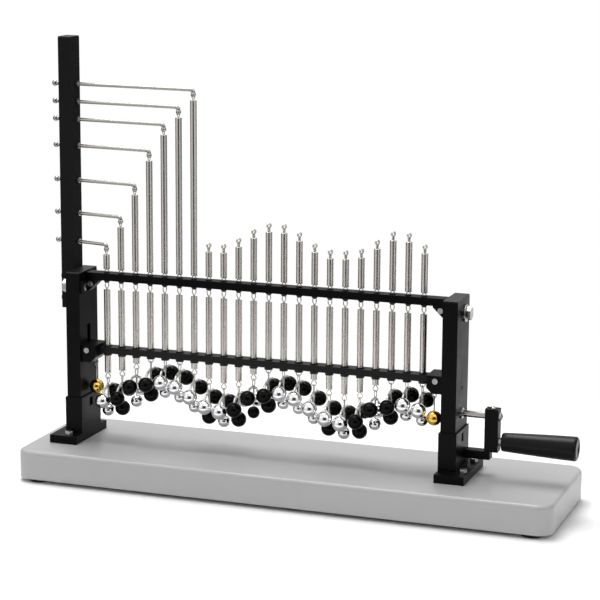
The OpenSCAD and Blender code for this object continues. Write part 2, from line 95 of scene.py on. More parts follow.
def tubeAlong(path, radius, sides, across, closed=False):
    # circle carried along a flat path: point = path + r (cos a * across + sin a * (tangent x across))
    path = np.asarray(path, float)
    if closed:
        tangent = np.roll(path, -1, 0) - np.roll(path, 1, 0)
    else:
        tangent = np.gradient(path, axis=0)
    tangent = tangent / np.linalg.norm(tangent, axis=1)[:, None]
    across = np.asarray(across, float) / np.linalg.norm(across)
    other = np.cross(tangent, across)
    angle = np.linspace(0, 2 * np.pi, sides, endpoint=False)[None, :, None]
    size = np.broadcast_to(np.asarray(radius, float), (len(path),))[:, None, None]
    rings = path[:, None] + size * (np.cos(angle) * across + np.sin(angle) * other[:, None])
    return ringSurface(rings, closed)


def turned(profile, sides, origin, axis=(0, 0, 1)):
    # profile of (radius, height) pairs turned about the axis through the origin
    axis = np.asarray(axis, float)
    side = np.array([0.0, 1.0, 0.0]) if abs(axis[1]) < 0.5 else np.array([1.0, 0.0, 0.0])
    other = np.cross(axis, side)
    profile = np.asarray(profile, float)
    angle = np.linspace(0, 2 * np.pi, sides, endpoint=False)[None, :, None]
    spoke = np.cos(angle) * side + np.sin(angle) * other
    rings = np.asarray(origin) + profile[:, 0][:, None, None] * spoke + profile[:, 1][:, None, None] * axis
    return ringSurface(rings)


def ball(centre, radius, sides=40, steps=24):
    # sphere: radius r cos b at height r sin b, with a fan at each pole
    tilt = np.linspace(-np.pi / 2, np.pi / 2, steps + 1)[1:-1]
    return turned(np.stack([radius * np.cos(tilt), radius * np.sin(tilt)], -1), sides, centre)


def softPath(corners, cut, steps=6):
    # line through the corners, each inner corner a quadratic curve that starts and ends cut away from it
    corners = np.asarray(corners, float)
    inner = corners[1:-1]
    back = corners[:-2] - inner
    ahead = corners[2:] - inner
    start = (inner + cut * back / np.linalg.norm(back, axis=1)[:, None])[:, None]
    end = (inner + cut * ahead / np.linalg.norm(ahead, axis=1)[:, None])[:, None]
    t = np.linspace(0, 1, steps)[None, :, None]
    bends = (1 - t) ** 2 * start + 2 * t * (1 - t) * inner[:, None] + t ** 2 * end
    return np.concatenate([corners[:1], bends.reshape(-1, 3), corners[-1:]])


def circlePath(centre, radius, sideA, sideB, start=0.0, end=2 * math.pi, steps=24, whole=True):
    # centre + r (cos a * sideA + sin a * sideB)
    angle = np.linspace(start, end, steps, endpoint=not whole)[:, None]
    around = np.cos(angle) * np.asarray(sideA) + np.sin(angle) * np.asarray(sideB)
    return np.asarray(centre) + radius * around


def joined(parts):
    # parts one after another, their numbers moved on
    points, quads, tris, start = [], [], [], 0
    for part in parts:
        points.append(part[0])
        quads.append(part[1] + start)
        tris.append(part[2] + start)
        start += len(part[0])
    return np.concatenate(points), np.concatenate(quads), np.concatenate(tris)


def meshFrom(name, groups):
    # one mesh from groups of parts, each group with its own material number
    mesh = bpy.data.meshes.new(name)
    points, quads, tris = joined([part for group in groups for part in group])
    quadMark = np.concatenate([np.full(sum(len(p[1]) for p in g), k) for k, g in enumerate(groups)])
    triMark = np.concatenate([np.full(sum(len(p[2]) for p in g), k) for k, g in enumerate(groups)])
    corners = np.concatenate([quads.ravel(), tris.ravel()]).astype(np.int32)
    sizes = np.concatenate([np.full(len(quads), 4), np.full(len(tris), 3)])
    starts = np.concatenate([[0], np.cumsum(sizes)[:-1]]).astype(np.int32)
    mesh.vertices.add(len(points))
    mesh.vertices.foreach_set("co", points.astype(np.float32).ravel())
    mesh.loops.add(len(corners))
    mesh.loops.foreach_set("vertex_index", corners)
    mesh.polygons.add(len(sizes))
    mesh.polygons.foreach_set("loop_start", starts)
    mesh.polygons.foreach_set("material_index", np.concatenate([quadMark, triMark]).astype(np.int32))
    mesh.polygons.foreach_set("use_smooth", np.ones(len(sizes), bool))
    mesh.update(calc_edges=True)
    mesh.validate()
    return mesh


def placePiece(name, mesh, materials, body=None, stands=()):
    # the mesh as a named piece with its finishes and its body, and the CAD nodes it stands for hidden
    piece = bpy.data.objects.new(name, mesh)
    scene.collection.objects.link(piece)
    for material in materials:
        mesh.materials.append(material)
    if stands:
        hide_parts(*stands)
    if body:
        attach(piece, body)
    return piece


# Short forms for shader nodes. A value is a number or another node's socket.
def feed(tree, socket, value):
    if isinstance(value, bpy.types.NodeSocket):
        tree.links.new(value, socket)
    else:
        socket.default_value = value


def newGroup(name, inputs, outputs):
    group = bpy.data.node_groups.new(name, "ShaderNodeTree")
    kinds = {"value": "NodeSocketFloat", "colour": "NodeSocketColor", "vector": "NodeSocketVector"}
    for label, kind in inputs:
        group.interface.new_socket(name=label, in_out="INPUT", socket_type=kinds[kind])
    for label, kind in outputs:
        group.interface.new_socket(name=label, in_out="OUTPUT", socket_type=kinds[kind])
    return group, group.nodes.new("NodeGroupInput"), group.nodes.new("NodeGroupOutput")


def shaderMath(tree, operation, first, second=0):
    node = tree.nodes.new("ShaderNodeMath")
    node.operation = operation
    feed(tree, node.inputs[0], first)
    feed(tree, node.inputs[1], second)
    return node.outputs[0]


def mixColour(tree, amount, first, second):
    # the Mix node's colour sockets are its inputs 6 and 7 and its output 2
    mix = tree.nodes.new("ShaderNodeMix")
    mix.data_type = "RGBA"
    feed(tree, mix.inputs["Factor"], amount)
    feed(tree, mix.inputs[6], first)
    feed(tree, mix.inputs[7], second)
    return mix.outputs[2]


def mixShader(tree, amount, first, second):
    mix = tree.nodes.new("ShaderNodeMixShader")
    for socket, value in zip(mix.inputs, (amount, first, second)):
        tree.links.new(value, socket)
    return mix.outputs[0]


def remap(tree, value, start, end, low=0, high=1, smooth=False):
    # start to end becomes low to high, straight or with eased ends
    node = tree.nodes.new("ShaderNodeMapRange")
    node.interpolation_type = "SMOOTHSTEP" if smooth else "LINEAR"
    labels = ("Value", "From Min", "From Max", "To Min", "To Max")
    for label, given in zip(labels, (value, start, end, low, high)):
        feed(tree, node.inputs[label], given)
    return node.outputs["Result"]


# The grain that all finishes share
grainSettings = {"fineDetail": 3, "broadDetail": 4, "patchFrom": 0.3, "patchTo": 0.7}


def grainGroup():
    # two noises on the piece: a fine one for tone and height, a broad one for rubbed and dull patches
    group, given, made = newGroup(
        "finishGrain",
        [("Tone", "colour"), ("Low tone", "colour"), ("Fine scale", "value"), ("Broad scale", "value"),
         ("Stretch", "vector"), ("Gloss low", "value"), ("Gloss high", "value")],
        [("Colour", "colour"), ("Roughness", "value"), ("Height", "value")])
    place = group.nodes.new("ShaderNodeTexCoord")
    stretched = group.nodes.new("ShaderNodeVectorMath")
    stretched.operation = "MULTIPLY"
    group.links.new(place.outputs["Object"], stretched.inputs[0])
    group.links.new(given.outputs["Stretch"], stretched.inputs[1])
    fine = group.nodes.new("ShaderNodeTexNoise")
    fine.inputs["Detail"].default_value = grainSettings["fineDetail"]
    group.links.new(stretched.outputs[0], fine.inputs["Vector"])
    group.links.new(given.outputs["Fine scale"], fine.inputs["Scale"])
    broad = group.nodes.new("ShaderNodeTexNoise")
    broad.inputs["Detail"].default_value = grainSettings["broadDetail"]
    group.links.new(place.outputs["Object"], broad.inputs["Vector"])
    group.links.new(given.outputs["Broad scale"], broad.inputs["Scale"])
    patch = remap(group, broad.outputs["Fac"], grainSettings["patchFrom"], grainSettings["patchTo"],
                  given.outputs["Gloss low"], given.outputs["Gloss high"])
    both = shaderMath(group, "MULTIPLY", fine.outputs["Fac"], broad.outputs["Fac"])
    colour = mixColour(group, both, given.outputs["Tone"], given.outputs["Low tone"])
    group.links.new(colour, made.inputs["Colour"])
    group.links.new(patch, made.inputs["Roughness"])
    group.links.new(fine.outputs["Fac"], made.inputs["Height"])
    return group


finishGrain = grainGroup()


def finish(name, settings):
    # a Principled surface whose tone, gloss and fine relief come from the shared grain
    material = bpy.data.materials.new(name)
    material.use_nodes = True
    tree = material.node_tree
    shader = tree.nodes["Principled BSDF"]
    grain = tree.nodes.new("ShaderNodeGroup")
    grain.node_tree = finishGrain
    grain.inputs["Tone"].default_value = (*settings["tone"], 1)
    grain.inputs["Low tone"].default_value = (*settings["lowTone"], 1)
    grain.inputs["Fine scale"].default_value = settings["fineScale"]
    grain.inputs["Broad scale"].default_value = settings["broadScale"]
    grain.inputs["Stretch"].default_value = settings.get("stretch", (1, 1, 1))
    grain.inputs["Gloss low"].default_value = settings["rough"][0]
    grain.inputs["Gloss high"].default_value = settings["rough"][1]
    tree.links.new(grain.outputs["Colour"], shader.inputs["Base Color"])
    tree.links.new(grain.outputs["Roughness"], shader.inputs["Roughness"])
    relief = tree.nodes.new("ShaderNodeBump")
    relief.inputs["Strength"].default_value = settings["relief"]
    relief.inputs["Distance"].default_value = settings["reliefDepth"]
    tree.links.new(grain.outputs["Height"], relief.inputs["Height"])
    tree.links.new(relief.outputs["Normal"], shader.inputs["Normal"])
    shader.inputs["Metallic"].default_value = settings.get("metallic", 0)
    shader.inputs["Specular IOR Level"].default_value = settings.get("specular", 0.5)
    return material


def grey(level):
    return (level, level, level)


# the black paint comes in copies of different depth: painted shade darkens the upper bar's copy, painted
# light lightens the lower bar's and the mast's, and all share their grain
paintGrain = {
    "fineScale": 1600, "broadScale": 40, "rough": (0.3, 0.4), "relief": 0.2, "reliefDepth": 0.15 * mm,
}
finishSettings = {
    "greyPaint": {
        "tone": (0.44, 0.44, 0.445), "lowTone": (0.415, 0.415, 0.42), "fineScale": 900, "broadScale": 18,
        "rough": (0.3, 0.4), "relief": 0.12, "reliefDepth": 0.2 * mm, "specular": 0.5},
    "blackPaint": {**paintGrain, "tone": grey(0.004), "lowTone": grey(0.0025), "specular": 0.08},
    # painted shade: a darker copy of the black paint for the upper bar
    "shadedUpperBarPaint": {**paintGrain, "tone": grey(0.0008), "lowTone": grey(0.0005), "specular": 0.09},
    # painted light: lighter copies of the black paint for the lower bar and the mast
    "litLowerBarPaint": {**paintGrain, "tone": grey(0.015), "lowTone": grey(0.012), "specular": 0.11},
    "litMastPaint": {**paintGrain, "tone": grey(0.017), "lowTone": grey(0.014), "specular": 0.012},
    "blackPlastic": {
        "tone": grey(0.008), "lowTone": grey(0.004), "fineScale": 2200, "broadScale": 60,
        "rough": (0.3, 0.4), "relief": 0.15, "reliefDepth": 0.1 * mm, "specular": 0.3},
    "gripPlastic": {
        "tone": grey(0.005), "lowTone": grey(0.003), "fineScale": 1800, "broadScale": 50,
        "rough": (0.24, 0.32), "relief": 0.12, "reliefDepth": 0.1 * mm, "specular": 0.16},
    "rubber": {
        "tone": grey(0.012), "lowTone": grey(0.02), "fineScale": 1500, "broadScale": 80,
        "rough": (0.65, 0.8), "relief": 0.3, "reliefDepth": 0.2 * mm, "specular": 0.25},
    "blackSteel": {
        "tone": grey(0.03), "lowTone": grey(0.015), "fineScale": 1800, "broadScale": 90,
        "rough": (0.3, 0.42), "relief": 0.15, "reliefDepth": 0.1 * mm, "metallic": 0.6},
    "plainSteel": {
        "tone": (0.5, 0.49, 0.47), "lowTone": (0.36, 0.35, 0.34), "fineScale": 1400, "broadScale": 120,
        "rough": (0.2, 0.34), "relief": 0.1, "reliefDepth": 0.06 * mm, "metallic": 1},
    "polishedSteel": {
        "tone": (0.46, 0.44, 0.415), "lowTone": (0.37, 0.355, 0.335), "fineScale": 1500, "broadScale": 70,
        "stretch": (0.05, 1, 1), "rough": (0.22, 0.32), "relief": 0.08, "reliefDepth": 0.05 * mm,
        "metallic": 1},
    "springSteel": {
        "tone": (0.72, 0.69, 0.65), "lowTone": (0.58, 0.555, 0.52), "fineScale": 1200, "broadScale": 60,
        "rough": (0.2, 0.3), "relief": 0.06, "reliefDepth": 0.05 * mm, "metallic": 1},
    "armSteel": {
        "tone": (0.74, 0.72, 0.69), "lowTone": (0.6, 0.58, 0.55), "fineScale": 1400, "broadScale": 120,
        "rough": (0.24, 0.36), "relief": 0.08, "reliefDepth": 0.05 * mm, "metallic": 1},
    "chrome": {
        "tone": (0.84, 0.84, 0.85), "lowTone": (0.78, 0.78, 0.79), "fineScale": 900, "broadScale": 90,
        "rough": (0.05, 0.1), "relief": 0.02, "reliefDepth": 0.03 * mm, "metallic": 1},
    "blackGloss": {
        "tone": grey(0.002), "lowTone": grey(0.001), "fineScale": 700, "broadScale": 90,
        "rough": (0.1, 0.16), "relief": 0.03, "reliefDepth": 0.05 * mm, "specular": 0.1},
    "goldPlate": {
        "tone": (0.83, 0.55, 0.1), "lowTone": (0.72, 0.45, 0.07), "fineScale": 900, "broadScale": 90,
        "rough": (0.1, 0.18), "relief": 0.02, "reliefDepth": 0.03 * mm, "metallic": 1},
}
finishes = {name: finish(name, settings) for name, settings in finishSettings.items()}
print("finishes:", len(finishes))


# CAD nodes whose shape is right keep it, with a finish of their own
nodeFinish = {
    "greyPaint": ["base_plate"],
    "rubber": ["rubber_feet"],
    "blackPlastic": ["upper_bushes", "lower_bushes"],
    "blackSteel": ["mast_bolts"],
    "plainSteel": ["foot_screws", "shaft_bushes", "marker_hooks", "eccentric", "exciter_link", "trim_screws"],
    "polishedSteel": ["grip_spindle", "rod_collars", "arm_screws"],
}
for finishName, names in nodeFinish.items():
    for name in names:
        nodes[name].data.materials.clear()
        nodes[name].data.materials.append(finishes[finishName])
print("finished as they are:", sum(len(names) for names in nodeFinish.values()))


# Copies of CAD nodes, their doubled points merged
copySettings = {
    "mergeGap": 0.002 * mm, "flatAngle": math.radians(0.5), "easeAngle": math.radians(32), "easeSteps": 3,
}


def bodyOf(node):
    bodies = frame["record"]["behaviour"]["bodies"]
    return next(body for body, members in bodies.items() if node in members)


def mergedCopy(node, name, flatten):
    # the node's mesh as closed smooth surfaces and, where asked, with its flat facets joined
    mesh = nodes[node].data.copy()
    mesh.name = name
    work = bmesh.new()
    work.from_mesh(mesh)
    bmesh.ops.remove_doubles(work, verts=work.verts, dist=copySettings["mergeGap"])
    if flatten:
        flatAngle = copySettings["flatAngle"]
        bmesh.ops.dissolve_limit(work, angle_limit=flatAngle, verts=work.verts, edges=work.edges)
    work.to_mesh(mesh)
    work.free()
    if "custom_normal" in mesh.attributes:
        mesh.attributes.remove(mesh.attributes["custom_normal"])
    mesh.materials.clear()
    mesh.polygons.foreach_set("use_smooth", np.ones(len(mesh.polygons), bool))
    return mesh


# Plates, tubes and bars with their sharp edges eased
edgeSettings = {
    "blackPaint": {"ease": 0.7 * mm, "slot": "black_paint", "nodes": [
        "left_foot_bracket", "right_foot_bracket", "left_post", "right_post", "upper_gussets", "lower_blocks",
        "crank_rest", "crank_arm"]},
    # the upper bar takes the shaded copy of the black paint, the lower bar and the mast take the lit copies
    "shadedUpperBarPaint": {"ease": 0.7 * mm, "slot": "black_paint", "nodes": ["upper_bar"]},
    "litLowerBarPaint": {"ease": 0.7 * mm, "slot": "black_paint", "nodes": ["lower_bar"]},
    "litMastPaint": {"ease": 0.7 * mm, "slot": "black_paint", "nodes": ["mast"]},
    "blackPlastic": {"ease": 0.6 * mm, "slot": "black_plastic", "nodes": ["tube_caps"]},
    "plainSteel": {"ease": 0.35 * mm, "slot": "plain_steel", "nodes": [
        "flange_bolts", "bar_bolts", "bar_washers"]},
}


def easedNode(node, width, finishName):
    # a merged copy with a rounded bevel on each edge over the ease angle
    name = node + "_eased"
    mesh = mergedCopy(node, name, True)
    piece = placePiece(name, mesh, [finishes[finishName]], bodyOf(node), [node])
    bevel = piece.modifiers.new("ease", "BEVEL")
    bevel.width = width
    bevel.segments = copySettings["easeSteps"]
    bevel.limit_method = "ANGLE"
    bevel.angle_limit = copySettings["easeAngle"]
    bevel.use_clamp_overlap = True
    shade = piece.modifiers.new("shade", "WEIGHTED_NORMAL")
    shade.keep_sharp = True


for finishName, settings in edgeSettings.items():
    for node in settings["nodes"]:
        easedNode(node, settings["ease"], finishName)
print("eased edges:", sum(len(settings["nodes"]) for settings in edgeSettings.values()))


# Rods, knobs and crank shaft: a little stouter than their solids, with the knobs clear of the mast
fullSettings = {
    "mast_rods": {"grow": 0.5 * mm, "reach": 3.8 * mm},
    "rod_knobs": {"grow": 0, "reach": 3.8 * mm},
    "crank_shaft": {"grow": 0.7 * mm, "reach": 0},
}
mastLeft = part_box("mast")[0].x


def fullNode(node, grow, reach):
    # a merged copy whose points move out along their normals, those left of the mast further to the left
    name = node + "_full"
    mesh = mergedCopy(node, name, False)
    points, normals = (np.empty(len(mesh.vertices) * 3) for _ in range(2))
    mesh.vertices.foreach_get("co", points)
    mesh.vertices.foreach_get("normal", normals)
    points = (points + grow * normals).reshape(-1, 3)
    points[points[:, 0] < mastLeft, 0] -= reach
    mesh.vertices.foreach_set("co", points.ravel())
    mesh.update()
    mesh.set_sharp_from_angle(angle=copySettings["easeAngle"])
    placePiece(name, mesh, [finishes["polishedSteel"]], bodyOf(node), [node])


for node, settings in fullSettings.items():
    fullNode(node, settings["grow"], settings["reach"])
print("stouter rods and shaft:", len(fullSettings))


# Springs: close wound wire, so the body is one helical ridge
springSettings = {
    "radius": 3.5 * mm, "wire": 0.46 * mm, "ridge": 0.05 * mm, "sides": 24, "arc": 4,
    "standGap": 3.4 * mm, "tipLow": 5 * mm, "hungGap": 10.7 * mm, "lowerTop": barUnder - 10.6 * mm,
    "ringGap": 3.9 * mm, "eyeNeck": 6.3 * mm,
    # the standing springs' eyes follow a wave over the stations
    "eyeMean": 49.8 * mm, "eyeSwing": 13.8 * mm, "eyeCrest": 12.5, "wave": 8,
    "eyeTrim": {16: 2, 17: 2.2, 18: -2.3, 19: -2.5, 21: -0.5, 22: -4},  # millimetres off the even wave
}
rodRise = [216, 247, 283, 320.5, 349, 368, 387]  # rods over the slab in millimetres, shortest first


def coil(x, low, high):
    # helix of scallops: angle 2 pi m / sides, height low + pitch (m / sides + s), and
    # radius R - ridge (1 - sqrt(1 - (2 s - 1)^2)) across each turn of the wire
    sizes = springSettings
    turns = max(2, round((high - low) / (2 * sizes["wire"])))
    pitch = (high - low) / (turns + 1)
    sides, arc = sizes["sides"], sizes["arc"]
    m = np.arange(turns * sides + sides + 1)[:, None]
    s = np.arange(arc)[None, :] / arc
    angle = 2 * np.pi * m / sides + 0 * s
    radius = sizes["radius"] - sizes["ridge"] * (1 - np.sqrt(1 - (2 * s - 1) ** 2)) + 0 * m
    height = low + pitch * (m / sides + s)
    points = np.stack([x + radius * np.cos(angle), radius * np.sin(angle), height], -1).reshape(-1, 3)
    row = np.arange(turns * sides)[:, None] * arc
    step = np.arange(arc)[None, :]
    over = np.where(step + 1 < arc, row + step + 1, row + sides * arc)
    overNext = np.where(step + 1 < arc, row + arc + step + 1, row + arc + sides * arc)
    quads = np.stack([row + step, row + arc + step, overNext, over], -1).reshape(-1, 4)
    ends = np.array([[x, 0, low + pitch / 2], [x, 0, high - pitch / 2]])
    first, last = len(points), len(points) + 1
    ramp = np.arange(sides)
    stepUp = np.concatenate([np.arange(arc), [sides * arc]])
    lowFan = np.concatenate([
        np.stack([np.full(sides, first), (ramp + 1) * arc, ramp * arc], -1),
        np.stack([np.full(arc, first), stepUp[:-1], stepUp[1:]], -1)])
    topRow = turns * sides
    highFan = np.concatenate([
        np.stack([np.full(sides, last), (topRow + ramp) * arc, (topRow + ramp + 1) * arc], -1),
        np.stack([np.full(arc, last), topRow * arc + stepUp[1:], topRow * arc + stepUp[:-1]], -1)])
    return np.concatenate([points, ends]), quads, np.concatenate([lowFan, highFan])


# Wire ends of the springs
hookSettings = {
    "wire": 0.5 * mm, "sides": 8, "half": 2.6 * mm, "sink": 0.6 * mm, "footHalf": 0.5 * mm,
    "neckHalf": 0.6 * mm, "neckRise": 0.8 * mm, "bend": 0.7 * mm,
}
dropSettings = {
    "top": barUnder - 2 * mm, "wire": 0.62 * mm, "sides": 8, "half": 2.1 * mm, "sink": 0.6 * mm,
    "footHalf": 0.4 * mm, "neckHalf": 0.5 * mm, "neckRise": 0.9 * mm, "shoulderRise": 3.6 * mm,
    "headShare": 0.9, "headDrop": 1.6 * mm, "bend": 0.9 * mm,
}
eyeSettings = {
    "radius": 2.15 * mm, "wire": 1 * mm, "neckWire": 0.8 * mm, "sides": 10, "turn": 55, "opening": 32,
    "sink": 0.8 * mm, "footHalf": 0.4 * mm, "steps": 26,
}
ringSettings = {**eyeSettings, "radius": 2.7 * mm, "wire": 0.6 * mm, "neckWire": 0.6 * mm, "turn": 0}
tieSettings = {"radius": 2 * mm, "wire": 0.6 * mm, "sides": 8, "turn": 20, "rise": 1.5 * mm}


def hookLoop(x, crossbar, springTop):
    # two legs from the middle of the spring's top to a crossbar, its corners rounded
    sizes = hookSettings
    left = [(-sizes["footHalf"], springTop - sizes["sink"]),
            (-sizes["neckHalf"], springTop + sizes["neckRise"]), (-sizes["half"], crossbar)]
    right = [(-across, height) for across, height in left[::-1]]
    corners = [(x + across, 0, height) for across, height in left + right]
    return tubeAlong(softPath(corners, sizes["bend"]), sizes["wire"], sizes["sides"], (0, 1, 0))


def dropLoop(x, springTop):
    # teardrop of wire: a narrow neck on the spring's top, straight sides and a rounded head inside the bush
    sizes = dropSettings
    left = [(-sizes["footHalf"], springTop - sizes["sink"]),
            (-sizes["neckHalf"], springTop + sizes["neckRise"]),
            (-sizes["half"], springTop + sizes["shoulderRise"]),
            (-sizes["headShare"] * sizes["half"], sizes["top"] - sizes["headDrop"])]
    right = [(-across, height) for across, height in left[::-1]]
    corners = [(x + across, 0, height) for across, height in left + [(0, sizes["top"])] + right]
    return tubeAlong(softPath(corners, sizes["bend"]), sizes["wire"], sizes["sides"], (0, 1, 0))


def flatSide(turn):
    # level direction at an angle from +X in degrees
    return np.array([math.cos(math.radians(turn)), math.sin(math.radians(turn)), 0])


def eyeLoop(x, centre, springEnd, side, sizes):
    # open circle turned about Z. Its two ends, as thick as the neck, run to the middle of the spring's end,
    # which lies below the circle (side 1) or above it (side -1)
    opening = math.radians(sizes["opening"])
    flat = flatSide(sizes["turn"])
    middle = np.array([x, 0, centre])
    arc = circlePath(middle, sizes["radius"], (0, 0, -side), flat, opening, 2 * math.pi - opening,
                     sizes["steps"], False)
    foot = np.array([x, 0, springEnd - side * sizes["sink"]])
    path = np.concatenate([[foot + sizes["footHalf"] * flat], arc, [foot - sizes["footHalf"] * flat]])
    neck, wire = sizes["neckWire"], sizes["wire"]
    thick = np.concatenate([[neck], np.full(len(arc), wire), [neck]])
    thick[[1, -2]] = (neck + wire) / 2
    return tubeAlong(path, thick, sizes["sides"], np.cross((0, 0, 1), flat))


def tieLoop(x):
    # ring that ties an upper spring to its bush
    sizes = tieSettings
    flat = flatSide(sizes["turn"])
    path = circlePath((x, 0, barTop + sizes["rise"]), sizes["radius"], flat, (0, 0, 1))
    return tubeAlong(path, sizes["wire"], sizes["sides"], np.cross((0, 0, 1), flat), True)


def makeSprings():
    # hung springs end below their rods' tips, the eyes of standing ones lie at mean + swing cos(phase) over
    # the upper bar, and lower ones run from that bar down to the bobs' rings
    sizes = springSettings
    hung, standing = [], []
    for i, x in enumerate(stationX):
        low = barTop + sizes["standGap"]
        if i < len(rodRise):
            tip = slabTop + rodRise[i] * mm - sizes["tipLow"]
            top = slabTop + rodRise[i] * mm - sizes["hungGap"]
            hung += [coil(x, low, top), hookLoop(x, tip, top), tieLoop(x)]
        else:
            phase = 2 * math.pi * (i + 1 - sizes["eyeCrest"]) / sizes["wave"]
            trim = sizes["eyeTrim"].get(i + 1, 0) * mm
            eye = barTop + sizes["eyeMean"] + sizes["eyeSwing"] * math.cos(phase) + trim
            top = eye - sizes["eyeNeck"]
            standing += [coil(x, low, top), eyeLoop(x, eye, top, 1, eyeSettings), tieLoop(x)]
    steel = [finishes["springSteel"]]
    for name, parts, node in (("springs_hung", hung, "hung_springs"),
                              ("springs_standing", standing, "standing_springs")):
        placePiece(name, meshFrom(name, [parts]), steel, "frame", [node])
    for i, (x, ring) in enumerate(zip(stationX, ringZ)):
        low, top = ring + sizes["ringGap"], sizes["lowerTop"]
        parts = [coil(x, low, top), dropLoop(x, top), eyeLoop(x, ring, low, -1, ringSettings)]
        name = f"spring_lower_{i + 1:02d}"
        piece = placePiece(name, meshFrom(name, [parts]), steel)
        if i == 0:  # the first piece stands for the node of all lower springs
            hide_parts("lower_springs")
        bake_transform(piece)


makeSprings()
print("springs:", stationCount + 2, "pieces")


# Bobs: a link, a forked wire and three balls, some dark and some bright
bobSettings = {
    "ballRadius": 8.3 * mm, "smallBall": 6.6 * mm, "wave": 8, "largeLow": (0, 2, 4),
    "linkHalf": 1.4 * mm, "linkLow": 9.2 * mm, "linkTop": 1.3 * mm, "linkWire": 0.55 * mm, "linkSides": 8,
    "linkSteps": 28, "linkTurn": 64, "linkSway": 34, "linkPhase": 2.4,  # sway in degrees, phase in radians
    "stem": 1 * mm, "stemSides": 10, "stemSteps": 12, "fork": 9.8 * mm, "pairDrop": 22.5 * mm,
    "sideReach": 16 * mm, "lowDrop": 38 * mm,
    # arms: shoulders and ends in shares of the reach and drop to the side balls, tilts in degrees
    "arm": 1.4 * mm, "armSides": 12, "armBend": 4 * mm, "shoulderReach": 0.72, "shoulderDrop": 0.16,
    "endReach": 0.97, "armEnd": 6.5 * mm, "tilt": 7, "tiltBack": -14, "backPlace": 3,
    # stations whose balls differ: dark in front, bright at the back, dark at the bottom
    "darkFront": (2, 3, 4, 10, 11, 12, 18, 19, 20), "brightBack": (3, 10, 11, 19),
    "darkLow": (2, 4, 8, 10, 11, 12, 16, 18, 20),
}


def linkOval(x, ring, station):
    # oval of wire: width across a direction that differs a little from station to station, height along Z
    sizes = bobSettings
    side = flatSide(sizes["linkTurn"] + sizes["linkSway"] * math.sin(sizes["linkPhase"] * station))
    half = (sizes["linkLow"] - sizes["linkTop"]) / 2
    angle = np.linspace(0, 2 * np.pi, sizes["linkSteps"], endpoint=False)[:, None]
    centre = np.array([x, 0, ring - sizes["linkTop"] - half])
    path = centre + sizes["linkHalf"] * np.cos(angle) * side + half * np.sin(angle) * np.array([0, 0, 1])
    return tubeAlong(path, sizes["linkWire"], sizes["linkSides"], np.cross(side, (0, 0, 1)), True)


def makeBob(station):
    # a stem down to the low ball, and on each side a bent arm from the fork to a ball
    sizes = bobSettings
    number = station + 1
    place = number % sizes["wave"]
    x, ring = stationX[station], ringZ[station]
    lean = math.radians(sizes["tiltBack"] if place == sizes["backPlace"] else sizes["tilt"])
    forkZ = ring - sizes["fork"]
    drop = sizes["pairDrop"] - sizes["fork"]

    def leaned(y, z):
        # the yoke leans about the fork
        return (x, y * math.cos(lean) - z * math.sin(lean), forkZ + y * math.sin(lean) + z * math.cos(lean))

    stem = np.linspace((x, 0, forkZ), (x, 0, ring - sizes["lowDrop"]), sizes["stemSteps"])
    stemWire = tubeAlong(stem, sizes["stem"], sizes["stemSides"], (1, 0, 0))
    wires = [linkOval(x, ring, station), stemWire]
    arms, bright, dark = [], [], []
    for side in (-1, 1):
        reach = side * sizes["sideReach"]
        corners = [leaned(0, 0), leaned(sizes["shoulderReach"] * reach, -sizes["shoulderDrop"] * drop),
                   leaned(sizes["endReach"] * reach, -drop + sizes["armEnd"])]
        path = softPath(corners, sizes["armBend"])
        arms.append(tubeAlong(path, sizes["arm"], sizes["armSides"], (1, 0, 0)))
        isDark = number in sizes["darkFront"] if side < 0 else number not in sizes["brightBack"]
        (dark if isDark else bright).append(ball(leaned(reach, -drop), sizes["ballRadius"]))
    lowRadius = sizes["ballRadius"] if place in sizes["largeLow"] else sizes["smallBall"]
    lowBall = ball((x, 0, ring - sizes["lowDrop"]), lowRadius)
    (dark if number in sizes["darkLow"] else bright).append(lowBall)
    groups = [wires, arms, bright, dark]
    looks = [finishes[name] for name in ("springSteel", "armSteel", "chrome", "blackGloss")]
    kept = [k for k in range(len(groups)) if groups[k]]
    node = stationNames[station]
    name = node + "_balls"
    mesh = meshFrom(name, [groups[k] for k in kept])
    placePiece(name, mesh, [looks[k] for k in kept], node, [node])


for station in range(stationCount):
    makeBob(station)
print("bobs:", stationCount)


# Gold end balls on their wires
goldSettings = {
    "ballRadius": 7.9 * mm, "stem": 0.8 * mm, "stemSides": 10, "stemSteps": 8, "loopRadius": 2 * mm,
    "loopWire": 0.55 * mm, "loopSides": 8,
}
goldNodes = ("gold_left", "gold_right")


def makeGold(node):
    # a ball at the foot of the node's box, a straight stem and a ring at the top
    sizes = goldSettings
    low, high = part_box(node)
    x, y = (low.x + high.x) / 2, (low.y + high.y) / 2
    centre = (x, y, low.z + sizes["ballRadius"])
    loop = (x, y, high.z - sizes["loopRadius"] - sizes["loopWire"])
    stem = np.linspace((x, y, loop[2] - sizes["loopRadius"]), centre, sizes["stemSteps"])
    ring = circlePath(loop, sizes["loopRadius"], (0, 1, 0), (0, 0, 1))
    wires = [tubeAlong(stem, sizes["stem"], sizes["stemSides"], (1, 0, 0)),
             tubeAlong(ring, sizes["loopWire"], sizes["loopSides"], (1, 0, 0), True)]
    name = node + "_ball"
    mesh = meshFrom(name, [[ball(centre, sizes["ballRadius"])], wires])
    placePiece(name, mesh, [finishes["goldPlate"], finishes["plainSteel"]], node, [node])


for node in goldNodes:
    makeGold(node)
print("gold balls:", len(goldNodes))


# Grip: a turned plastic handle that swells towards its end
gripSettings = {
    "near": 8.4 * mm, "far": 12.7 * mm, "lip": 2.6 * mm, "footLong": 1.4 * mm, "footWide": 1.3 * mm,
    "bore": 2.6 * mm, "hole": 1.5 * mm, "holeDepth": 3 * mm,
    "straight": 0.55, "bulge": 0.45,  # shares of the swell that grow evenly and as a sine
    "sides": 64, "swellSteps": 40, "rimSteps": 9,
}


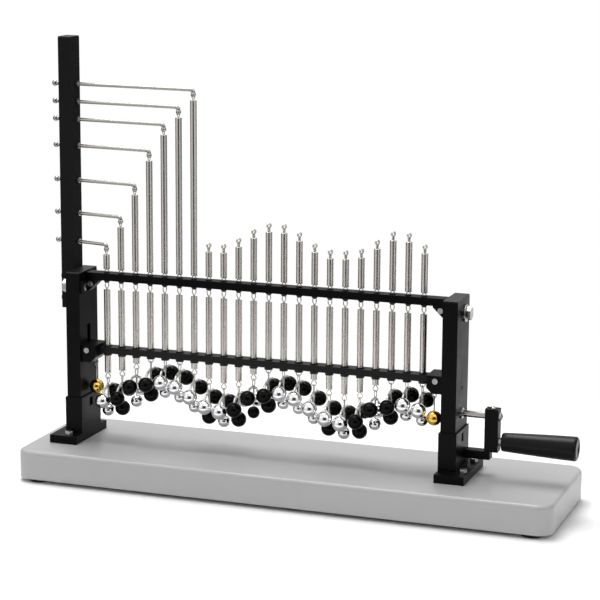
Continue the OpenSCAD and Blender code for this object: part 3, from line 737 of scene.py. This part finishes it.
def makeGrip():
    # profile along the axis: bored face, rounded foot, swell, rounded rim and a blind hole in the end
    sizes = gripSettings
    near, far, lip, bevel, wide = (sizes[key] for key in ("near", "far", "lip", "footLong", "footWide"))
    low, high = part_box("grip")
    length = high.x - low.x
    axis = (low.x, (low.y + high.y) / 2, (low.z + high.z) / 2)
    t = np.linspace(0, 1, sizes["swellSteps"])
    along = bevel + t * (length - bevel - lip)
    grown = sizes["straight"] * t + sizes["bulge"] * np.sin(t * np.pi / 2)
    swell = near + wide + (far - near - wide) * grown
    turn = np.linspace(0, np.pi / 2, sizes["rimSteps"])[1:]
    rim = np.stack([far - lip * (1 - np.cos(turn)), length - lip * (1 - np.sin(turn))], -1)
    foot = np.stack([near + wide * np.sin(turn[:-1]), bevel * (1 - np.cos(turn[:-1]))], -1)
    face = [(sizes["bore"], 0), (near, 0)]
    hole = [(sizes["hole"], length), (sizes["hole"], length - sizes["holeDepth"])]
    profile = np.concatenate([face, foot, np.stack([swell, along], -1), rim, hole])
    handle = turned(profile, sizes["sides"], axis, (1, 0, 0))
    name = "grip_handle"
    placePiece(name, meshFrom(name, [[handle]]), [finishes["gripPlastic"]], "grip", ["grip"])


makeGrip()
print("grip: 1")


# Floor, light and camera
floorSettings = {
    "radius": 12.0, "matteTo": 0.38, "whiteFrom": 0.56, "middle": 0.001, "sides": 96, "tone": 0.985,
}
cameraSettings = {
    "place": (0.7201, -2.0301, 0.6514), "tilt": 78.34, "turn": 19.574, "roll": 0.344, "lens": 125.98,
    "sensor": 36,
}
skySettings = {
    "forMatte": 0.5,
    # brightness of the tent for shiny surfaces: by angle from the camera's side, then by height
    "tentAround": ((0, 0.05), (18, 0.05), (36, 0.95), (78, 1.0), (98, 0.15), (168, 0.13), (180, 0.25)),
    "tentTop": (0.42, 0.66), "tentLean": 0.3, "tentFoot": (-0.12, 0.05), "tentLow": 0.65,
}
lampSettings = {  # place, target, width in metres, power in watts
    "keyRight": ((1.5, -0.9, 1.7), (0, 0, 0.2), 1.3, 2.6),
    "fillLeft": ((-1.4, -1.5, 1.3), (0, 0, 0.2), 1.4, 1),
    "topSoft": ((-0.5, 0.35, 2.1), (-0.05, 0, 0.1), 1.6, 43),
    "frontSpark": ((0.52, -1.5, 1.62), (0, 0, 0.2), 0.24, 1.6),
    "sideCard": ((0.4, 0.72, 0.03), (0.18, 0, 0.2), 0.45, 0.45),
}
white = (1, 1, 1, 1)


def makeFloor():
    # level disc: matte under the object, and further out white for the camera and clear for all other rays
    sizes = floorSettings
    angle = np.linspace(0, 2 * np.pi, sizes["sides"], endpoint=False)
    radius = np.array([sizes["radius"], sizes["whiteFrom"], sizes["matteTo"], sizes["middle"]])
    spoke = np.stack([np.cos(angle), np.sin(angle), 0 * angle], -1)
    mesh = meshFrom("floor", [[ringSurface(radius[:, None, None] * spoke[None], caps=False)]])
    floor = bpy.data.objects.new("floor", mesh)
    scene.collection.objects.link(floor)
    material = bpy.data.materials.new("floorWhite")
    material.use_nodes = True
    tree = material.node_tree
    tree.nodes.clear()
    out = tree.nodes.new("ShaderNodeOutputMaterial")
    place = tree.nodes.new("ShaderNodeTexCoord")
    reach = tree.nodes.new("ShaderNodeVectorMath")
    reach.operation = "LENGTH"
    tree.links.new(place.outputs["Object"], reach.inputs[0])
    fade = remap(tree, reach.outputs["Value"], sizes["matteTo"], sizes["whiteFrom"], smooth=True)
    matte = tree.nodes.new("ShaderNodeBsdfDiffuse")
    matte.inputs["Color"].default_value = (*grey(sizes["tone"]), 1)
    bright = tree.nodes.new("ShaderNodeEmission")
    clear = tree.nodes.new("ShaderNodeBsdfTransparent")
    path = tree.nodes.new("ShaderNodeLightPath")
    far = mixShader(tree, path.outputs["Is Camera Ray"], clear.outputs[0], bright.outputs[0])
    both = mixShader(tree, fade, matte.outputs[0], far)
    tree.links.new(both, out.inputs["Surface"])
    mesh.materials.append(material)


def tentAround(tree, direction):
    # angle about Z from the camera's side, as a share of half a turn, through the ramp of levels
    facing = tree.nodes.new("ShaderNodeVectorRotate")
    facing.rotation_type = "Z_AXIS"
    facing.inputs["Angle"].default_value = math.radians(90 - cameraSettings["turn"])
    tree.links.new(direction, facing.inputs["Vector"])
    around = tree.nodes.new("ShaderNodeTexGradient")
    around.gradient_type = "RADIAL"
    tree.links.new(facing.outputs["Vector"], around.inputs["Vector"])
    side = shaderMath(tree, "SUBTRACT", around.outputs["Fac"], 0.5)
    share = shaderMath(tree, "MULTIPLY", shaderMath(tree, "ABSOLUTE", side), 2)
    ramp = tree.nodes.new("ShaderNodeValToRGB")
    levels = skySettings["tentAround"]
    while len(ramp.color_ramp.elements) < len(levels):
        ramp.color_ramp.elements.new(0.5)
    for element, (angle, level) in zip(ramp.color_ramp.elements, levels):
        element.position = angle / 180
        element.color = (*grey(level), 1)
    tree.links.new(share, ramp.inputs["Fac"])
    return ramp.outputs["Color"]


def tentRoof(tree, direction, height):
    # the white roof comes down towards the back: height plus a share of the distance behind
    back = tree.nodes.new("ShaderNodeVectorMath")
    back.operation = "DOT_PRODUCT"
    tree.links.new(direction, back.inputs[0])
    heading = math.radians(cameraSettings["turn"])
    back.inputs[1].default_value = (-math.sin(heading), math.cos(heading), 0)
    behind = shaderMath(tree, "MAXIMUM", back.outputs["Value"], 0)
    lifted = shaderMath(tree, "ADD", shaderMath(tree, "MULTIPLY", behind, skySettings["tentLean"]), height)
    return remap(tree, lifted, *skySettings["tentTop"], smooth=True)


def background(tree, colour, strength):
    node = tree.nodes.new("ShaderNodeBackground")
    feed(tree, node.inputs["Color"], colour)
    feed(tree, node.inputs["Strength"], strength)
    return node.outputs[0]


def makeSky():
    # white for the camera, an even sky for matte surfaces, and for shiny ones a white tent with a dark
    # upright gap at the camera's side and darker far flanks
    world = bpy.data.worlds.new("studio")
    scene.world = world
    world.use_nodes = True
    tree = world.node_tree
    tree.nodes.clear()
    out = tree.nodes.new("ShaderNodeOutputWorld")
    path = tree.nodes.new("ShaderNodeLightPath")
    direction = tree.nodes.new("ShaderNodeTexCoord").outputs["Generated"]
    split = tree.nodes.new("ShaderNodeSeparateXYZ")
    tree.links.new(direction, split.inputs[0])
    height = split.outputs["Z"]
    tentColour = mixColour(tree, tentRoof(tree, direction, height), tentAround(tree, direction), white)
    tentLevel = remap(tree, height, *skySettings["tentFoot"], skySettings["tentLow"])
    tent = background(tree, tentColour, tentLevel)
    even = background(tree, white, skySettings["forMatte"])
    shiny = mixShader(tree, path.outputs["Is Glossy Ray"], even, tent)
    seen = mixShader(tree, path.outputs["Is Camera Ray"], shiny, background(tree, white, 1))
    tree.links.new(seen, out.inputs["Surface"])


def makeLamp(name, place, target, size, power):
    # round area lamp that points from its place to the target and isn't seen itself
    lamp = bpy.data.lights.new(name, "AREA")
    lamp.shape = "DISK"
    lamp.size = size
    lamp.energy = power
    holder = bpy.data.objects.new(name, lamp)
    scene.collection.objects.link(holder)
    holder.visible_camera = False
    holder.location = place
    aim = np.array(target) - np.array(place)
    flat = math.hypot(aim[0], aim[1])
    holder.rotation_euler = (math.atan2(flat, -aim[2]), 0, math.atan2(-aim[0], aim[1]))


def makeCamera():
    # turned about Z, tilted up from straight down, then rolled about its own view
    sizes = cameraSettings
    lens = bpy.data.cameras.new("camera")
    lens.lens = sizes["lens"]
    lens.sensor_width = sizes["sensor"]
    holder = bpy.data.objects.new("camera", lens)
    scene.collection.objects.link(holder)
    holder.location = sizes["place"]
    aim = Matrix.Rotation(math.radians(sizes["turn"]), 3, "Z")
    aim = aim @ Matrix.Rotation(math.radians(sizes["tilt"]), 3, "X")
    holder.rotation_euler = (aim @ Matrix.Rotation(math.radians(sizes["roll"]), 3, "Z")).to_euler()
    scene.camera = holder


makeFloor()
makeSky()
for name, settings in lampSettings.items():
    makeLamp(name, *settings)
makeCamera()
scene.view_settings.view_transform = "Standard"
print("stage ready")
